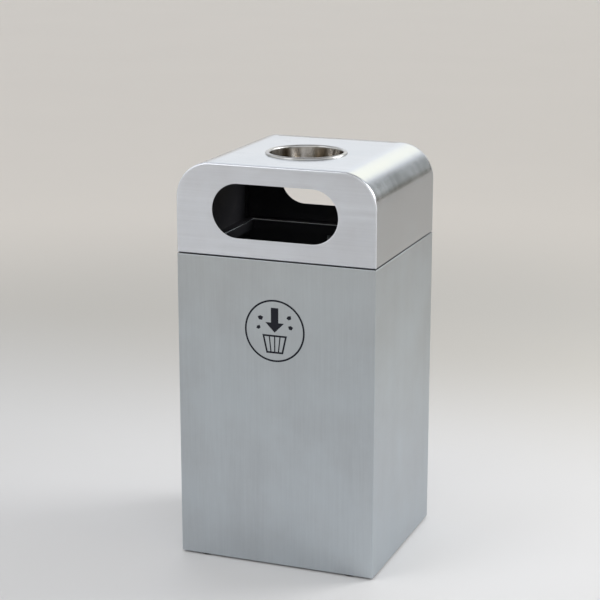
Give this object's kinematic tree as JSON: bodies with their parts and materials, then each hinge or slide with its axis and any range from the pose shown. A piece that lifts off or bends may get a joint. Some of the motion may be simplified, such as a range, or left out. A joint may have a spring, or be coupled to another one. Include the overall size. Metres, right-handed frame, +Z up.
{
  "type": "litter bin",
  "caption": "Free-standing rectangular steel litter bin with a lift-off hood slotted front and rear, a lift-out ash bowl in its roof and a lift-out inner liner with folding handles.",
  "frame": {"origin": "on the floor under the centre of the casing", "axes": "+Z up, the slotted front faces -Y, +X to the right as seen from the front"},
  "size_m": [0.4, 0.3552, 0.7928],
  "materials": {
    "brushed_stainless": "satin, brushed with an upright hairline grain",
    "polished_stainless": "polished, turned",
    "galvanised_steel": "galvanised, faint spangle",
    "mill_steel": "dull mill finish",
    "zinc_wire": "zinc plated",
    "zinc_fasteners": "bright zinc plated",
    "black_rubber": "matt black rubber",
    "black_print": "screen-printed black ink"
  },
  "bodies": {
    "casing": {"base_plate": "mill_steel", "casing": "brushed_stainless", "casing_seam_strip": "mill_steel", "foot_front_left": "black_rubber", "foot_front_right": "black_rubber", "foot_nuts": "zinc_fasteners", "foot_rear_left": "black_rubber", "foot_rear_right": "black_rubber", "foot_screws": "zinc_fasteners", "hood_buffer_front_left": "black_rubber", "hood_buffer_front_right": "black_rubber", "hood_buffer_rear_left": "black_rubber", "hood_buffer_rear_right": "black_rubber", "liner_guide_front_left": "mill_steel", "liner_guide_front_right": "mill_steel", "liner_guide_rear_left": "mill_steel", "liner_guide_rear_right": "mill_steel", "liner_rail_left": "mill_steel", "liner_rail_right": "mill_steel", "pictogram": "black_print"},
    "hood": {"bowl_seat_ring": "mill_steel", "hood_front_panel": "brushed_stainless", "hood_pin_front_left": "mill_steel", "hood_pin_front_right": "mill_steel", "hood_pin_rear_left": "mill_steel", "hood_pin_rear_right": "mill_steel", "hood_rear_panel": "brushed_stainless", "hood_wrap": "brushed_stainless"},
    "ash_bowl": {"ash_bowl": "polished_stainless"},
    "liner": {"handle_lug_front_left": "zinc_wire", "handle_lug_front_right": "zinc_wire", "handle_lug_rear_left": "zinc_wire", "handle_lug_rear_right": "zinc_wire", "handle_rivets_left": "zinc_fasteners", "handle_rivets_right": "zinc_fasteners", "liner_bottom": "galvanised_steel", "liner_rim_wire": "zinc_wire", "liner_shell": "galvanised_steel"},
    "liner_handle_left": {"liner_handle_left": "zinc_wire"},
    "liner_handle_right": {"liner_handle_right": "zinc_wire"}
  },
  "joints": [
    {"name": "hood_lift", "type": "slide", "parent": "casing", "child": "hood", "axis": [0, 0, 1], "range_m": [0, 0.75]},
    {"name": "bowl_lift", "type": "slide", "parent": "hood", "child": "ash_bowl", "axis": [0, 0, 1], "range_m": [0, 0.08]},
    {"name": "liner_lift", "type": "slide", "parent": "casing", "child": "liner", "axis": [0, 0, 1], "range_m": [0, 0.6]},
    {"name": "left_handle_fold", "type": "hinge", "parent": "liner", "child": "liner_handle_left", "pos_m": [-0.1621, 0, 0.528], "axis": [0, -1, 0], "range_deg": [0, 175]},
    {"name": "right_handle_fold", "type": "hinge", "parent": "liner", "child": "liner_handle_right", "pos_m": [0.1621, 0, 0.528], "axis": [0, 1, 0], "range_deg": [0, 175]}
  ],
  "couplings": [
    {"joint": "liner_lift", "follows": "hood_lift", "ratio": 0.8}
  ]
}
